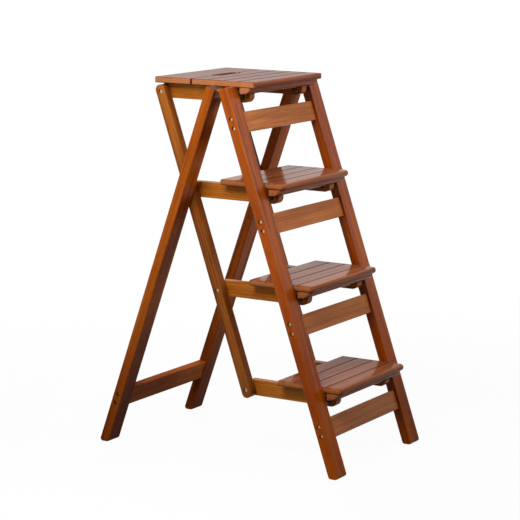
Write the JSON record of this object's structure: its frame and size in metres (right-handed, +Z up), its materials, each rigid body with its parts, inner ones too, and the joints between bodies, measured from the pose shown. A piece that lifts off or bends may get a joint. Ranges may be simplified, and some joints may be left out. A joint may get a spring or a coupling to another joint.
{
  "type": "folding step stool",
  "caption": "Wooden folding step stool: leaning ladder frame, swing-up grooved treads joined by link bars, hinged rear legs, top platform with hand slot.",
  "frame": {"origin": "on the floor, below the middle of the opened stool", "axes": "+Z up, +Y from the treads to the rear legs, +X to a climber's right"},
  "size_m": [0.4124, 0.6436, 0.871],
  "materials": {
    "frame_wood": "glossy reddish varnish",
    "tread_wood": "glossy reddish varnish",
    "bearer_wood": "glossy reddish varnish",
    "link_wood": "glossy reddish varnish",
    "bolt_steel": "zinc plated",
    "hinge_metal": "zinc plated"
  },
  "bodies": {
    "front_frame": {"left_stile": "frame_wood", "right_stile": "frame_wood", "front_rail_1": "frame_wood", "front_rail_2": "frame_wood", "front_rail_3": "frame_wood", "front_rail_4": "frame_wood", "front_rail_screws": "bolt_steel", "pivot_bolts": "bolt_steel", "pivot_spacers": "bolt_steel", "left_front_hinge_leaf": "hinge_metal", "right_front_hinge_leaf": "hinge_metal", "hinge_pins": "hinge_metal", "front_hinge_screws": "bolt_steel"},
    "platform": {"platform_board": "tread_wood", "platform_rear_board": "tread_wood", "platform_batten": "bearer_wood", "platform_left_bearer": "bearer_wood", "platform_right_bearer": "bearer_wood", "platform_board_screws": "bolt_steel"},
    "tread_1": {"tread_1_board": "tread_wood", "tread_1_batten": "bearer_wood", "tread_1_left_bearer": "bearer_wood", "tread_1_right_bearer": "bearer_wood", "tread_1_board_screws": "bolt_steel"},
    "tread_2": {"tread_2_board": "tread_wood", "tread_2_batten": "bearer_wood", "tread_2_left_bearer": "bearer_wood", "tread_2_right_bearer": "bearer_wood", "tread_2_board_screws": "bolt_steel"},
    "tread_3": {"tread_3_board": "tread_wood", "tread_3_batten": "bearer_wood", "tread_3_left_bearer": "bearer_wood", "tread_3_right_bearer": "bearer_wood", "tread_3_board_screws": "bolt_steel"},
    "left_link": {"left_link_bar": "link_wood", "left_link_bolts": "bolt_steel", "left_link_washers": "bolt_steel"},
    "right_link": {"right_link_bar": "link_wood", "right_link_bolts": "bolt_steel", "right_link_washers": "bolt_steel"},
    "rear_frame": {"left_rear_leg": "frame_wood", "right_rear_leg": "frame_wood", "rear_rail": "frame_wood", "rear_rail_screws": "bolt_steel", "left_rear_hinge_leaf": "hinge_metal", "right_rear_hinge_leaf": "hinge_metal", "rear_hinge_screws": "bolt_steel"}
  },
  "joints": [
    {"name": "platform_fold", "type": "hinge", "parent": "front_frame", "child": "platform", "pos_m": [0, -0.02135, 0.837], "axis": [1, 0, 0], "range_deg": [0, 60]},
    {"name": "tread_1_fold", "type": "hinge", "parent": "front_frame", "child": "tread_1", "pos_m": [0, -0.25575, 0.162], "axis": [1, 0, 0], "range_deg": [0, 60]},
    {"name": "tread_2_fold", "type": "hinge", "parent": "front_frame", "child": "tread_2", "pos_m": [0, -0.17762, 0.387], "axis": [1, 0, 0], "range_deg": [0, 60]},
    {"name": "tread_3_fold", "type": "hinge", "parent": "front_frame", "child": "tread_3", "pos_m": [0, -0.09949, 0.612], "axis": [1, 0, 0], "range_deg": [0, 60]},
    {"name": "left_link_swing", "type": "hinge", "parent": "platform", "child": "left_link", "pos_m": [0, 0.18165, 0.837], "axis": [1, 0, 0], "range_deg": [-60, 0]},
    {"name": "right_link_swing", "type": "hinge", "parent": "platform", "child": "right_link", "pos_m": [0, 0.18165, 0.837], "axis": [1, 0, 0], "range_deg": [-60, 0]},
    {"name": "rear_frame_fold", "type": "hinge", "parent": "front_frame", "child": "rear_frame", "pos_m": [0, 0, 0.852], "axis": [-1, 0, 0], "range_deg": [0, 38]}
  ],
  "couplings": [
    {"joint": "tread_1_fold", "follows": "platform_fold", "ratio": 1},
    {"joint": "tread_2_fold", "follows": "platform_fold", "ratio": 1},
    {"joint": "tread_3_fold", "follows": "platform_fold", "ratio": 1},
    {"joint": "left_link_swing", "follows": "platform_fold", "ratio": -1},
    {"joint": "right_link_swing", "follows": "platform_fold", "ratio": -1}
  ]
}
